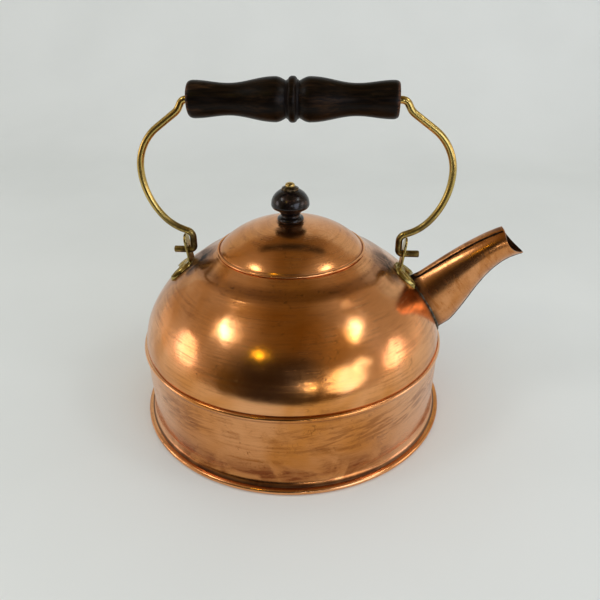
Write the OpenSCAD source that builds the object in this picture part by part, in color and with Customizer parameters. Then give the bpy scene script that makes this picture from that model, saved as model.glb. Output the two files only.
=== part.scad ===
// Domed copper kettle with a swinging brass bail handle, a turned wooden
// grip and a lift-off lid with a turned knob.
// Origin: centre of the underside of the base. +Z up, +X towards the spout,
// the handle swings about an axis parallel to X. Millimetres.

/* [Body] */
// Outer radius of the rolled rim round the base
rim_r = 95; // [94.6:0.1:95.6]
// Outer radius of the straight wall at its foot
wall_r = 90.1; // [89.9:0.1:90.3]
// Outer radius of the straight wall just under the bead
wall_top_r = 91; // [90.9:0.1:91.2]
// Height of the top of the bead, where the dome leaves the wall
bead_top = 49.6; // [49.4:0.1:49.8]
// Thickness of the sheet copper
sheet = 0.8; // [0.6:0.1:0.8]
// Radius of the opening in the neck
neck_r = 42; // [41.9:0.1:42.2]

/* [Spout] */
// Height where the top of the spout meets the dome
spout_top_z = 85; // [83:0.5:86]
// Height where the bottom of the spout meets the dome
spout_low_z = 51.5; // [51.2:0.1:53]
// Half width of the spout at its root
spout_root_w = 11; // [9:0.5:12]
// Half width of the spout at its mouth
spout_mouth_w = 8; // [7:0.5:9]
// How far the sides of the mouth are cut back behind the lip
mouth_notch = 2.2; // [0:0.2:3]

/* [Lid] */
// Height of the crown of the lid
lid_top = 120; // [119:0.2:121]
// Outer radius of the rolled edge of the lid
lid_rim_r = 43.75; // [43.6:0.05:44]
// Depth of the ring under the lid that drops into the neck
skirt_depth = 9.5; // [7:0.5:11]

/* [Handle] */
// Radius of the brass wire
wire_r = 2; // [1.8:0.1:2.1]
// Height of the pivot holes in the ears
pivot_z = 101; // [100.5:0.5:101.5]
// Height of the middle of the grip
grip_z = 187.5; // [187:0.5:188]
// Half length of the grip
grip_half = 55.5; // [54:0.5:56]
// How far the handle sits towards the spout from the middle of the kettle
handle_x = 2.3; // [2.2:0.1:2.4]
// Radial clearance of the wire in the ears and in the grip
wire_gap = 0.06; // [0.04:0.01:0.1]

/* [Ears] */
// Thickness of the stamped brass ears
ear_t = 1.4; // [1.2:0.1:1.5]
// Width of the upright tab of an ear
tab_w = 9; // [8:0.5:10]
// Outward lean of the tab in degrees
tab_lean = 8; // [6:1:10]

/* [Hidden] */

$fn = 96;
copper = [0.72, 0.40, 0.24];
brass = [0.72, 0.56, 0.22];
dark_wood = [0.16, 0.08, 0.06];
dark_metal = [0.30, 0.27, 0.24];

// ---------------------------------------------------------------- outlines

// The dome is close to an ellipsoid: radius at height z, for the outer face
dome_r0 = 90.5;
dome_z0 = 47.5;
dome_h = 64.2;
dome_pow = 0.567;
crease_z = 94;
function dome_r(z) = dome_r0 * pow(max(0.001, 1 - pow((z - dome_z0) / dome_h, 2)), dome_pow);
function dome_dr(z) = (dome_r(z + 0.01) - dome_r(z - 0.01)) / 0.02;
// The point at distance d outside the dome's outer face, as [radius, height]
function dome_off(z, d) =
    let (m = dome_dr(z), n = sqrt(1 + m * m)) [dome_r(z) + d / n, z - d * m / n];

// Cubic curve through two ends and two control points, n steps
function mix(a, b, t) = a * (1 - t) + b * t;
function bez(p, t) = pow(1 - t, 3) * p[0] + 3 * t * pow(1 - t, 2) * p[1]
                   + 3 * t * t * (1 - t) * p[2] + pow(t, 3) * p[3];
function curve(p, n) = [for (i = [0:n]) bez(p, i / n)];
// Arc of radius r about c, from angle a to angle b, n steps
function arc(c, r, a, b, n) =
    [for (i = [0:n]) let (t = mix(a, b, i / n)) [c[0] + r * cos(t), c[1] + r * sin(t)]];

// ---------------------------------------------------------------- body

rim_tube = 1.6;                      // half height of the rolled rim

// Flat base whose edge is rolled over the foot of the wall
module base_plate() {
    c = [rim_r - rim_tube, rim_tube];
    color(copper) rotate_extrude()
        polygon(concat(
            [[0, 0]],
            arc(c, rim_tube, -90, 90, 12),
            [[92.4, 2 * rim_tube], [92.4, 2.4], [94, 2.4], [94, 1.6],
             [90.8, 1.6], [90, sheet], [0, sheet]]));
}

// Straight wall: a flange caught in the base's rim, a small flare, a plain
// band and a rolled bead that holds the foot of the dome
seat_r = 90.2;                       // inner radius where the dome is held
module lower_wall() {
    color(copper) rotate_extrude()
        polygon(concat(
            [[94, 1.6], [94, 2.4], [92.4, 2.4], [92.4, 3.5]],
            curve([[92.2, 3.9], [91, 4.6], [wall_r, 6.4], [wall_r, 9]], 8),
            [[wall_top_r, bead_top - 3.4]],
            arc([seat_r + 0.3, bead_top - 1.5], 1.5, -62, 80, 10),
            [[seat_r, bead_top], [seat_r, 44], [wall_r - sheet, 9]],
            [for (q = curve([[wall_r - sheet, 9], [wall_r - sheet, 6.2],
                             [90.4, 4.2], [91.4, 3.2]], 8)) if (q[1] < 8.9) q],
            [[91.6, 1.6]]));
}

// Dome with a creased shoulder and a neck whose edge is turned down inside
skirt_z = 44.2;
neck_z = 103.6;
dome_n = 26;
shoulder_n = 10;
crease_c = [55.6, 93.6];
function shoulder(t, d) =
    [mix(57.05, 44.6, t) - 0.45 * d, mix(96.45, 102.8, t) - 0.5 * sin(180 * t) - 0.9 * d];
module dome_solid() {
    rotate_extrude()
        polygon(concat(
            [[seat_r - sheet, skirt_z], [seat_r, skirt_z], [seat_r, bead_top]],
            [for (i = [0:dome_n]) dome_off(mix(bead_top + 0.6, crease_z, i / dome_n), 0)],
            arc(crease_c, 3.2, 14, 58, 5),
            [for (i = [0:shoulder_n]) shoulder(i / shoulder_n, 0)],
            arc([neck_r + 1.3, neck_z - 1.3], 1.3, 62, 180, 8),
            [[neck_r, 97], [neck_r + sheet, 97], [neck_r + sheet, 101.2]],
            [for (i = [shoulder_n:-1:0]) shoulder(i / shoulder_n, sheet)],
            arc(crease_c, 3.2 - sheet, 50, 20, 4),
            [for (i = [dome_n:-1:0]) dome_off(mix(bead_top + 0.6, crease_z - 0.4, i / dome_n), -sheet)],
            [[seat_r - sheet, bead_top - 0.4]]));
}

// Slot through the dome behind the root of the spout
module spout_slot() {
    t0 = [dome_r(spout_top_z), spout_top_z];
    b0 = [dome_r(spout_low_z), spout_low_z];
    m = (t0 + b0) / 2;
    translate([m[0], 0, m[1]])
        rotate([0, 90 - atan2(b0[0] - t0[0], t0[1] - b0[1]), 0]) {
            for (s = [-9, 9]) translate([s, 0, -14]) cylinder(r = 6, h = 28);
            translate([-9, -6, -14]) cube([18, 12, 28]);
        }
}

module dome() {
    color(copper) difference() {
        dome_solid();
        spout_slot();
    }
}

// ---------------------------------------------------------------- spout

// Upper and lower edges of the spout in the X-Z plane, root to mouth
spout_m = 22;                        // rings along the spout
spout_n = 14;                        // points from the top edge to the bottom
spout_up = [[dome_r(spout_top_z), spout_top_z], [80, 91], [102, 110.5], [121, 118]];
spout_dn = [[dome_r(spout_low_z), spout_low_z], [106.5, 62], [110, 98], [134.5, 103.6]];
lift = 0.06;                         // keeps the root clear of the dome

function blade(s, a, b) = pow(s, a) * pow(1 - s, b)
    / (pow(a / (a + b), a) * pow(b / (a + b), b));
// Point on the spout: i along, j round (0 top edge, spout_n bottom edge),
// d how far inside the outer face; y is positive
function spout_pt(i, j, d) =
    let (t = i / spout_m, th = 180 * j / spout_n,
         u = bez(spout_up, t), v = bez(spout_dn, t), len = norm(v - u),
         s = (1 - cos(th)) / 2,
         se = mix(d / len, 1 - d / len, s),
         w = pow(1 - t, 2) * spout_root_w + 2 * t * (1 - t) * 10.3 + t * t * spout_mouth_w,
         y = (j == 0 || j == spout_n) ? 0
             : (w - d) * blade(s, mix(0.7, 0.45, t), mix(0.65, 0.68, t)),
         p = mix(u, v, se),
         root_x = sqrt(max(0, pow(dome_r(p[1]) + lift, 2) - y * y)),
         k = pow(max(0, 1 - t / 0.18), 2),
         g = mouth_notch * pow(max(0, (t - 0.75) / 0.25), 2) * pow(sin(th), 2))
    [mix(p[0], root_x, i == 0 ? 1 : k) - 0.85 * g, y, p[1] - 0.5 * g];

// A band of sheet: outer and inner rows of points, K pairs in each ring
module band(outer, inner, m, k) {
    w = k + 1;
    n = (m + 1) * w;
    function q(a, b, c, e) = [[a, b, c], [a, c, e]];
    faces = concat(
        [for (i = [0:m-1], j = [0:k-1]) each
            q(i*w + j, i*w + j + 1, (i+1)*w + j + 1, (i+1)*w + j)],
        [for (i = [0:m-1], j = [0:k-1]) each
            q(n + i*w + j, n + (i+1)*w + j, n + (i+1)*w + j + 1, n + i*w + j + 1)],
        [for (j = [0:k-1]) each q(j, n + j, n + j + 1, j + 1)],
        [for (j = [0:k-1]) each q(m*w + j, m*w + j + 1, n + m*w + j + 1, n + m*w + j)],
        [for (i = [0:m-1]) each q(i*w, (i+1)*w, n + (i+1)*w, n + i*w)],
        [for (i = [0:m-1]) each q(i*w + k, n + i*w + k, n + (i+1)*w + k, (i+1)*w + k)]);
    polyhedron(points = concat(outer, inner), faces = faces);
}

// Near half of the spout, on the -Y side
module spout_near() {
    color(copper) mirror([0, 1, 0])
        band([for (i = [0:spout_m], j = [0:spout_n]) spout_pt(i, j, 0)],
             [for (i = [0:spout_m], j = [0:spout_n]) spout_pt(i, j, sheet)],
             spout_m, spout_n);
}

// Far half, on the +Y side, with its top edge lapped over the near half
function out_dir(i) =
    let (u = bez(spout_up, i / spout_m), v = bez(spout_dn, i / spout_m), e = (u - v) / norm(u - v))
    [e[0], 0, e[1]];
function flip(p) = [p[0], -p[1], p[2]];
module spout_far() {
    // pairs run from the bottom edge up the far side, over the top and a
    // little way down the near side
    k = spout_n + 3;
    outer = [for (i = [0:spout_m]) each concat(
        [for (j = [spout_n:-1:3]) spout_pt(i, j, 0)],
        [spout_pt(i, 2, 0) + 0.5 * sheet * out_dir(i)],
        [spout_pt(i, 1, 0) + 0.9 * sheet * out_dir(i)],
        [spout_pt(i, 0, 0) + sheet * out_dir(i)],
        [mix(spout_pt(i, 0, 0), flip(spout_pt(i, 1, 0)), 0.5) + sheet * out_dir(i)],
        [flip(spout_pt(i, 1, 0)) + sheet * out_dir(i)],
        [mix(flip(spout_pt(i, 1, 0)), flip(spout_pt(i, 2, 0)), 0.4) + sheet * out_dir(i)])];
    inner = [for (i = [0:spout_m]) each concat(
        [for (j = [spout_n:-1:0]) spout_pt(i, j, sheet)],
        [spout_pt(i, 0, 0) + 0.03 * out_dir(i)],
        [flip(spout_pt(i, 1, 0)) + 0.03 * out_dir(i)],
        [mix(flip(spout_pt(i, 1, 0)), flip(spout_pt(i, 2, 0)), 0.4) + 0.05 * out_dir(i)])];
    color(copper) mirror([0, 1, 0]) band([for (p = outer) flip(p)], [for (p = inner) flip(p)], spout_m, k);
}

// Bead of soft solder in the corner between the dome and the spout
module spout_solder() {
    c = (spout_pt(0, 0, 0) + spout_pt(0, spout_n, 0)) / 2;
    n = 2 * spout_n;
    root = [for (j = [0:n-1]) j <= spout_n ? spout_pt(0, j, 0) : flip(spout_pt(0, n - j, 0))];
    // a point moved w outwards from the root and h above the dome's face
    function at(j, w, h) =
        let (p = root[j], q = p - c, l = norm([q[1], q[2]]),
             y = p[1] + w * q[1] / l, d = dome_off(p[2] + w * q[2] / l, lift + h))
        [sqrt(d[0] * d[0] - y * y), y, d[1]];
    // it runs round the sides and the bottom, clear of the ear above the spout
    sec = [[0.9, 0.05], [0.95, 0.34], [1.4, 0.34], [1.95, 0.05]];
    k = len(sec);
    j0 = 4;
    m = n - 2 * j0;
    pts = [for (j = [j0:j0+m], p = sec) at(j, p[0], p[1])];
    faces = concat(
        [for (j = [0:m-1], i = [0:k-1]) let (a = j*k + i, b = j*k + (i+1) % k, e = a + k, g = b + k)
            each [[a, b, g], [a, g, e]]],
        [[for (i = [k-1:-1:0]) i], [for (i = [0:k-1]) m*k + i]]);
    color([0.25, 0.24, 0.2]) polyhedron(points = pts, faces = faces);
}

// ---------------------------------------------------------------- ears

// Distance of the tab from the centre at the pivot, and height of the middle
// of the foot, for the ear at the spout and for the one behind
front_at = [66, 88.4];
rear_at = [62, 89.6];
// Outline of one lobe: a leaf with round root and pointed tip
function leaf(l, w) = concat(
    [for (i = [0:10]) let (t = i / 10) [l * t, w / 2 * pow(sin(180 * pow(t, 0.8)), 0.8) * (i == 10 ? 0 : 1)]],
    [for (i = [9:-1:1]) let (t = i / 10) [l * t, -w / 2 * pow(sin(180 * pow(t, 0.8)), 0.8)]]);
module ear(at) {
    tab_x = at[0];
    foot_z = at[1];
    phi = atan2(1, -dome_dr(foot_z));
    difference() {
        union() {
            // foot: two lobes pressed to the shape of the dome
            intersection() {
                rotate_extrude() polygon(concat(
                    [for (i = [0:10]) dome_off(mix(foot_z - 7.8, foot_z + 4.3, i / 10), 0.05)],
                    [for (i = [10:-1:0]) dome_off(mix(foot_z - 7.8, foot_z + 4.3, i / 10), ear_t)]));
                translate([dome_r(foot_z), 0, foot_z]) rotate([0, phi, 0])
                    translate([0, 0, -4]) linear_extrude(9) union() {
                        for (s = [-1, 1]) translate([-6.6, s * 1.9]) rotate(s * 27) leaf2d();
                        translate([-5.6, -tab_w / 2]) square([5, tab_w]);
                    }
            }
            // upright tab with a round top
            difference() {
                translate([tab_x, 0, pivot_z]) rotate([0, tab_lean, 0]) rotate([90, 0, 90])
                    translate([0, 0, -ear_t / 2]) {
                        translate([0, 5.6, 0]) cylinder(r = tab_w / 2, h = ear_t);
                        translate([-tab_w / 2, -12, 0]) cube([tab_w, 17.6, ear_t]);
                    }
                rotate_extrude() polygon(concat([[0, 78]],
                    [for (i = [0:12]) dome_off(mix(78, 94, i / 12), 0.05)], [[0, 94]]));
            }
        }
        // pivot hole
        translate([tab_x - 5, 0, pivot_z]) rotate([0, 90, 0]) cylinder(r = wire_r + wire_gap, h = 10);
    }
}
module leaf2d() { polygon(leaf(16.5, 8.6)); }
module front_ear() { color(brass) ear(front_at); }
module rear_ear() { color(brass) mirror([1, 0, 0]) ear(rear_at); }

// ---------------------------------------------------------------- handle

// Path of half the wire from the middle of the grip outwards, in the X-Z
// plane: [length, 0] is straight, [radius, angle] turns, angle > 0 downwards
half_path = [[56.9, 0], [4.2, 62], [2, 0], [9, -26], [13.2, 0], [29.6, 54],
             [42, 40], [26.9, 30], [2.2, 0], [4.5, -70], [5.279, 0], [2.5, -90], [1.5, 0]];
pin_l = 9.5;                         // length of the pin beyond the last bend
// Where a step of the path ends, as [x, z, heading], from where it starts
function go(p, s, f) = s[1] == 0
    ? [p[0] + f * s[0] * cos(p[2]), p[1] - f * s[0] * sin(p[2]), p[2]]
    : let (h = p[2] + f * s[1], r = s[1] > 0 ? s[0] : -s[0])
      [p[0] + r * (sin(h) - sin(p[2])), p[1] + r * (cos(h) - cos(p[2])), h];
// Starts of all steps, then points along each step
function starts(i) = i == 0 ? [0, grip_z, 0] : go(starts(i - 1), half_path[i - 1], 1);
function steps(s) = s[1] == 0 ? 1 : max(3, round(abs(s[1]) / 7));
wire_pts = concat([for (i = [0:len(half_path) - 1], f = [0:1 / steps(half_path[i]):0.999])
                       go(starts(i), half_path[i], f)],
                  [starts(len(half_path))]);
wire_sides = 24;
module handle_wire() {
    m = len(wire_pts);
    all = concat([for (i = [m - 1:-1:1]) let (p = wire_pts[i]) [-p[0], p[1], -p[2]]], wire_pts);
    n = len(all);
    k = wire_sides;
    rr = wire_r - 0.004;
    pts = [for (p = all, j = [0:k - 1]) let (c = rr * cos(360 * j / k), s = rr * sin(360 * j / k))
        [p[0] + s * sin(p[2]), c, p[1] + s * cos(p[2])]];
    faces = concat(
        [[for (j = [0:k - 1]) j]], [[for (j = [k - 1:-1:0]) (n - 1) * k + j]],
        [for (i = [0:n - 2], j = [0:k - 1]) let (a = i * k + j, b = i * k + (j + 1) % k)
            each [[a, a + k, b + k], [a, b + k, b]]]);
    e = starts(len(half_path));
    color(brass) translate([handle_x, 0, 0]) union() {
        polyhedron(points = pts, faces = faces);
        for (s = [0, 1]) mirror([s, 0, 0])
            translate([e[0] - 1, 0, e[1]]) rotate([0, 90, 0]) cylinder(r = wire_r, h = pin_l - 0.5);
    }
}

// Turned grip: two long baluster halves and a ring in the middle
function ease(t) = (1 - cos(180 * t)) / 2;
function grip_r(x) =
    x < 2.4 ? 11.7 - 1.5 * pow(x / 2.4, 3) :
    x < 3.6 ? mix(10.2, 9.4, (x - 2.4) / 1.2) :
    x < 9.2 ? mix(9.4, 11.5, sin(90 * (x - 3.6) / 5.6)) :
    x < 34 ? mix(11.5, 8.2, ease((x - 9.2) / 24.8)) :
    x < 52.6 ? mix(8.2, 9.7, ease((x - 34) / 18.6)) :
    9.7 - 1.5 * (1 - sqrt(max(0, 1 - pow((x - 52.6) / (grip_half - 52.6), 2))));
grip_x = concat([for (i = [0:4]) i * 0.6], [3, 3.6], [for (i = [1:6]) 3.6 + i * 5.6 / 6],
                [for (i = [1:14]) 9.2 + i * 24.8 / 14], [for (i = [1:8]) 34 + i * 18.6 / 8],
                [for (i = [1:5]) 52.6 + (grip_half - 52.6) * sin(18 * i)]);
module grip() {
    n = len(grip_x);
    color(dark_wood) translate([handle_x, 0, grip_z]) rotate([0, 90, 0])
        rotate_extrude() polygon(concat(
            [[wire_r + wire_gap, -grip_half]],
            [for (i = [n - 1:-1:1]) [grip_r(grip_x[i]), -grip_x[i]]],
            [for (i = [0:n - 1]) [grip_r(grip_x[i]), grip_x[i]]],
            [[wire_r + wire_gap, grip_half]]));
}

// ---------------------------------------------------------------- lid

bolt_r = 1.6;
hole_r = 1.7;
lid_z = neck_z + 0.1;                // underside of the lid's edge
lid_dome_r = 41.9;
function lid_zt(r) = lid_z + 1.35
    + (lid_top - lid_z - 1.35) * pow(max(0, 1 - pow(r / lid_dome_r, 2.5)), 0.86);
function lid_in(r) =
    lid_zt(r) - sheet * sqrt(1 + pow((lid_zt(r - 0.05) - lid_zt(r + 0.05)) / 0.1, 2));
module lid_shell() {
    n = 18;
    c = [lid_rim_r - 0.75, lid_z + 0.75];
    color(copper) rotate_extrude() polygon(concat(
        [for (i = [0:n]) let (r = mix(hole_r, lid_dome_r, sin(90 * i / n))) [r, lid_zt(r)]],
        [[42.3, lid_z + 1.0]],
        arc(c, 0.75, 120, -90, 10),
        [[40.6, lid_z], [40.6, lid_z + 0.9]],
        [for (i = [n - 1:-1:0]) let (r = mix(hole_r, 40.2, i / n)) [r, lid_in(r)]]));
}

// Ring soldered under the lid, which drops into the neck
module lid_skirt() {
    color(copper) translate([0, 0, lid_z - skirt_depth]) difference() {
        cylinder(r = 41.5, h = skirt_depth);
        translate([0, 0, -1]) cylinder(r = 40.7, h = skirt_depth + 2);
    }
}

// Turned wooden knob, mushroom shaped over a waisted stem and a foot ring
knob_z = lid_top + 0.02;
knob_h = 18.8;                       // height of the knob to the collar
module lid_knob() {
    outline = concat(
        [[hole_r, 0], [6.9, 0]],
        arc([6.3, 1.5], 1.45, -60, 75, 6),
        curve([[6.1, 3], [5.3, 3.4], [5.4, 4.6], [6.3, 5.6]], 5),
        [[7, 6.3], [7.3, 6.9]],
        curve([[8.6, 7.4], [10.9, 8.1], [11.2, 9.4], [11, 10.6]], 8),
        curve([[10.9, 11.3], [10.5, 14.2], [8.4, 16.6], [5.4, 18]], 8),
        [[hole_r, 18]]);
    color(dark_wood) translate([0, 0, knob_z])
        rotate_extrude() polygon([for (q = outline) [q[0], q[1] * knob_h / 18]]);
}

// Cup washer over the top of the knob
module knob_collar() {
    color(dark_metal) translate([0, 0, knob_z + knob_h]) rotate_extrude() polygon(concat(
        [[hole_r, 0.02], [5, 0.02]],
        curve([[5.1, 0.3], [5.2, 1.4], [3.9, 1.5], [3.1, 2.1]], 6),
        [[hole_r, 2.1]]));
}

// Round-headed bolt through collar, knob and lid
module knob_bolt() {
    color(brass) translate([0, 0, knob_z + knob_h + 2.12]) rotate_extrude() polygon(concat(
        [[0, -27.6], [bolt_r, -27.6], [bolt_r, 0], [2.75, 0], [2.8, 0.5]],
        curve([[2.75, 0.8], [2.5, 1.7], [1.4, 2.1], [0, 2.15]], 7)));
}

// Washer and hexagon nut under the lid
under_z = lid_top - sheet - 0.3;     // top of the washer
module knob_washer() {
    color(brass) translate([0, 0, under_z - 0.9]) difference() {
        cylinder(r = 5, h = 0.9);
        translate([0, 0, -1]) cylinder(r = hole_r, h = 3);
    }
}
module knob_nut() {
    color(brass) translate([0, 0, under_z - 4.1]) difference() {
        cylinder(r = 4.04, h = 3.2, $fn = 6);
        translate([0, 0, -1]) cylinder(r = bolt_r + 0.03, h = 6);
    }
}

base_plate();
lower_wall();
dome();
spout_near();
spout_far();
spout_solder();
front_ear();
rear_ear();
handle_wire();
grip();
lid_shell();
lid_skirt();
lid_knob();
knob_collar();
knob_bolt();
knob_washer();
knob_nut();
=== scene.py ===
import bpy
import bmesh
import math
import numpy as np
from mathutils import Matrix, Quaternion, Vector, noise


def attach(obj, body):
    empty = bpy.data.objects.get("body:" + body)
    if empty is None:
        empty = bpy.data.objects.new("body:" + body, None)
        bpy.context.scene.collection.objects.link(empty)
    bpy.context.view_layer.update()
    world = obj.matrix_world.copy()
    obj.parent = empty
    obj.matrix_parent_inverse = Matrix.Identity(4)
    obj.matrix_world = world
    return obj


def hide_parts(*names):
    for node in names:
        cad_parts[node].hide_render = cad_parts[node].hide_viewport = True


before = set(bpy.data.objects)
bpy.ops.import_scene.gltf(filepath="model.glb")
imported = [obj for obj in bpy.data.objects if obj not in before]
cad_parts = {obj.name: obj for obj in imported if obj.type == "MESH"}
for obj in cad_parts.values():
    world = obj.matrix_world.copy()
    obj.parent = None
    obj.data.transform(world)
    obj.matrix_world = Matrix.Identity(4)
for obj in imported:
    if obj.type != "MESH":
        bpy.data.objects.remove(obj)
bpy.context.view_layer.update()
scene = bpy.context.scene
mm = 0.001
sin, cos, pi = math.sin, math.cos, math.pi
rad = math.radians

# ------------------------------------------------------------ camera

pitch = rad(28.13)
level = Vector((-0.0805, 0.9968, 0))
ahead = Vector((level.x * cos(pitch), level.y * cos(pitch), -sin(pitch))).normalized()
right = Vector((0.9968, 0.0805, 0)).normalized()
above = right.cross(ahead)
tilt = -0.0106
axis_x = right * cos(tilt) + above * sin(tilt)
axis_y = above * cos(tilt) - right * sin(tilt)
cam = bpy.data.objects.new("camera", bpy.data.cameras.new("camera"))
scene.collection.objects.link(cam)
m = Matrix((axis_x, axis_y, -ahead)).transposed().to_4x4()
m.translation = Vector((0.0305, -0.3164, 0.23785))
cam.matrix_world = m
cam.data.lens = 34.71
cam.data.sensor_width = 36
cam.data.clip_start, cam.data.clip_end = 0.01, 20
scene.camera = cam
scene.view_settings.view_transform = "Standard"

# ------------------------------------------------------------ node helpers


class Graph:
    """A material's node tree, with short calls for the nodes used here."""

    def __init__(self, name):
        self.mat = bpy.data.materials.new(name)
        self.mat.use_nodes = True
        self.t = self.mat.node_tree
        self.t.nodes.clear()
        self.out = self.t.nodes.new("ShaderNodeOutputMaterial")
        self.bsdf = self.t.nodes.new("ShaderNodeBsdfPrincipled")
        self.t.links.new(self.bsdf.outputs[0], self.out.inputs[0])
        tc = self.t.nodes.new("ShaderNodeTexCoord")
        self.co = tc.outputs["Object"]
        s = self.t.nodes.new("ShaderNodeSeparateXYZ")
        self.t.links.new(self.co, s.inputs[0])
        self.x, self.y, self.z = s.outputs

    def put(self, socket, v):
        if isinstance(v, bpy.types.NodeSocket):
            self.t.links.new(v, socket)
        elif isinstance(v, (tuple, list)) and len(v) == 3 and socket.type == "RGBA":
            socket.default_value = (*v, 1)
        else:
            socket.default_value = v

    def math(self, op, a, b=0.0, c=0.0, clamp=False):
        n = self.t.nodes.new("ShaderNodeMath")
        n.operation, n.use_clamp = op, clamp
        for s, v in zip(n.inputs, (a, b, c)):
            self.put(s, v)
        return n.outputs[0]

    def mul(self, a, b, clamp=False):
        return self.math("MULTIPLY", a, b, clamp=clamp)

    def add(self, a, b, clamp=False):
        return self.math("ADD", a, b, clamp=clamp)

    def sub(self, a, b, clamp=False):
        return self.math("SUBTRACT", a, b, clamp=clamp)

    def vec(self, x, y, z):
        n = self.t.nodes.new("ShaderNodeCombineXYZ")
        for s, v in zip(n.inputs, (x, y, z)):
            self.put(s, v)
        return n.outputs[0]

    def noise(self, vec, scale, detail=3.0, rough=0.5, dist=0.0):
        n = self.t.nodes.new("ShaderNodeTexNoise")
        self.put(n.inputs["Vector"], vec)
        n.inputs["Scale"].default_value = scale
        n.inputs["Detail"].default_value = detail
        n.inputs["Roughness"].default_value = rough
        n.inputs["Distortion"].default_value = dist
        return n.outputs["Fac"]

    def cells(self, vec, scale, feature="F1", rand=1.0):
        n = self.t.nodes.new("ShaderNodeTexVoronoi")
        n.feature = feature
        self.put(n.inputs["Vector"], vec)
        n.inputs["Scale"].default_value = scale
        n.inputs["Randomness"].default_value = rand
        return n.outputs["Distance"]

    def fade(self, v, a, b, lo=0.0, hi=1.0):
        """lo where v is a, hi where v is b, smooth and clamped between."""
        n = self.t.nodes.new("ShaderNodeMapRange")
        n.interpolation_type = "SMOOTHSTEP"
        self.put(n.inputs["Value"], v)
        for k, w in zip(("From Min", "From Max", "To Min", "To Max"), (a, b, lo, hi)):
            n.inputs[k].default_value = w
        return n.outputs[0]

    def band(self, v, a, b, soft):
        """1 where v lies between a and b."""
        return self.mul(self.fade(v, a - soft, a + soft), self.fade(v, b + soft, b - soft))

    def mix(self, fac, a, b):
        n = self.t.nodes.new("ShaderNodeMix")
        n.data_type = "RGBA"
        self.put(n.inputs[0], fac)
        self.put(n.inputs[6], a)
        self.put(n.inputs[7], b)
        return n.outputs[2]

    def near(self, centre, reach, soft):
        """1 within reach of a point, 0 beyond reach + soft, in metres."""
        n = self.t.nodes.new("ShaderNodeVectorMath")
        n.operation = "DISTANCE"
        self.put(n.inputs[0], self.co)
        n.inputs[1].default_value = centre
        return self.fade(n.outputs["Value"], reach + soft, reach)

    def bump(self, height, strength, distance, normal=None):
        n = self.t.nodes.new("ShaderNodeBump")
        n.inputs["Strength"].default_value = strength
        n.inputs["Distance"].default_value = distance
        self.put(n.inputs["Height"], height)
        if normal is not None:
            self.put(n.inputs["Normal"], normal)
        return n.outputs[0]

    def done(self, colour, rough, normal=None, **flat):
        self.put(self.bsdf.inputs["Base Color"], colour)
        self.put(self.bsdf.inputs["Roughness"], rough)
        if normal is not None:
            self.put(self.bsdf.inputs["Normal"], normal)
        for k, v in flat.items():
            self.bsdf.inputs[k.replace("_", " ")].default_value = v
        return self.mat


# ------------------------------------------------------------ materials

LIGHT = (0.88, 0.43, 0.19)
DEEP = (0.70, 0.27, 0.06)
BROWN = (0.30, 0.10, 0.025)
SOOT_AND_SHADE = (0.03, 0.018, 0.012)


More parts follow.
